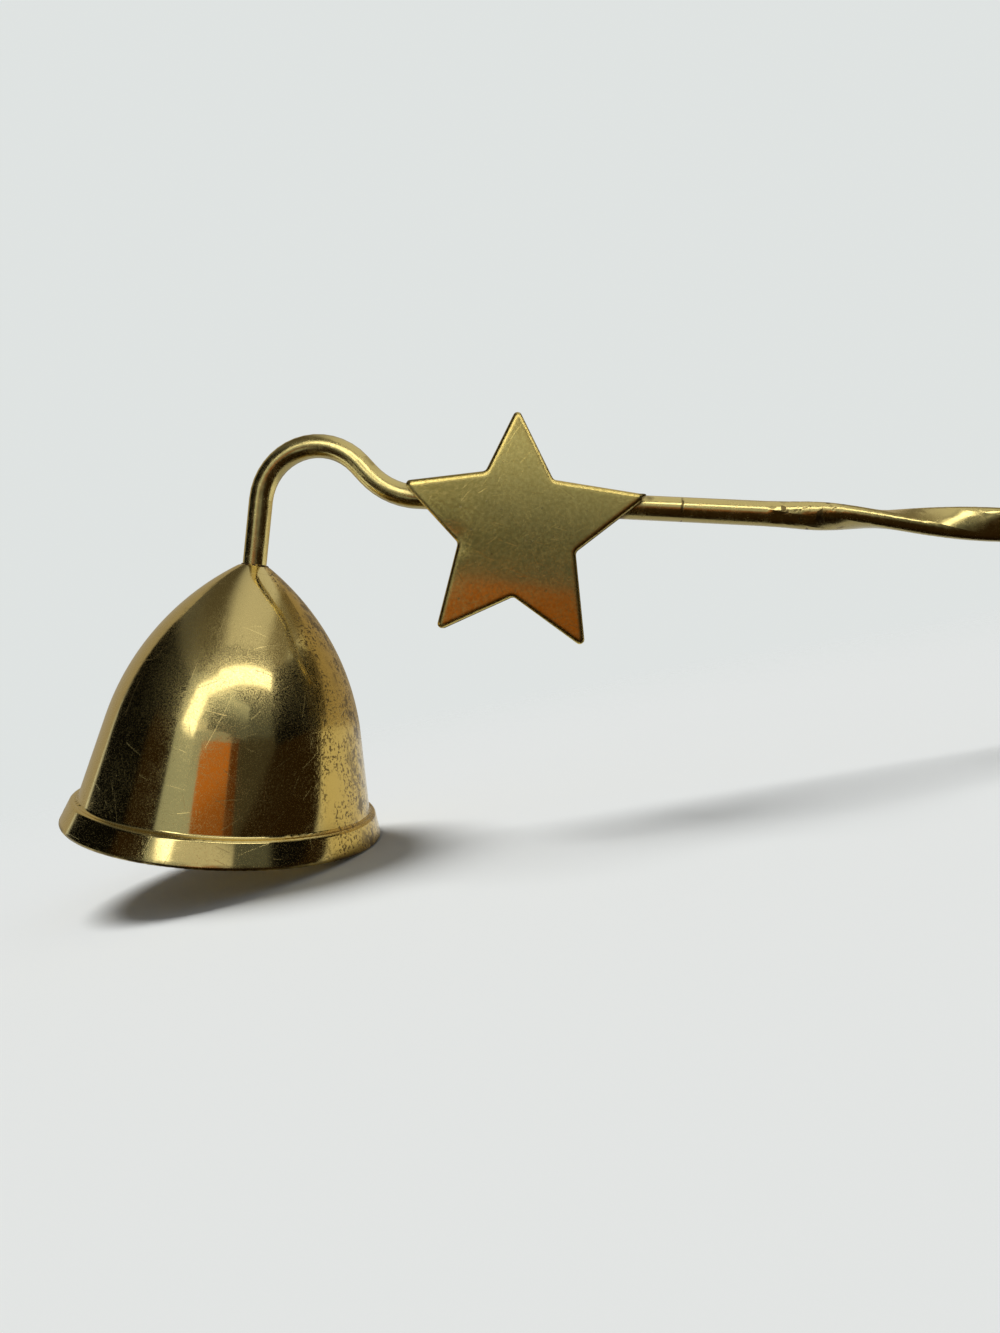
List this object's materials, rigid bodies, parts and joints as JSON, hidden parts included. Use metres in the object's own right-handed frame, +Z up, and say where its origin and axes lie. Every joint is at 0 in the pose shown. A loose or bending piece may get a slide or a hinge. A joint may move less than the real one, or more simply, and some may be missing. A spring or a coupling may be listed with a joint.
{
  "type": "candle snuffer",
  "caption": "Brass candle snuffer: a bell-shaped cap on a gooseneck rod, with a star on the shank and a twisted handle that ends in a hanging hole.",
  "frame": {"origin": "middle of the bounding box on the table, with the snuffer tipped as it lies there: the bell's rim and the far end of the handle both touch", "axes": "+X along the snuffer from the bell to the far end of the handle, +Z up, the star's face towards -Y"},
  "size_m": [0.2604, 0.0508, 0.068],
  "materials": {
    "bell_brass": "polished, aged, with fine scratches and tarnish spots",
    "rod_brass": "polished, streaked along its length, with hammer marks",
    "star_brass": "satin, rubbed by hand, edges worn bright",
    "solder": "dull, as flowed",
    "nut_brass": "dull, as cut"
  },
  "bodies": {
    "root": {"bell": "bell_brass", "handle_rod": "rod_brass", "star": "star_brass", "star_solder": "solder", "crown_nut": "nut_brass"}
  },
  "joints": []
}
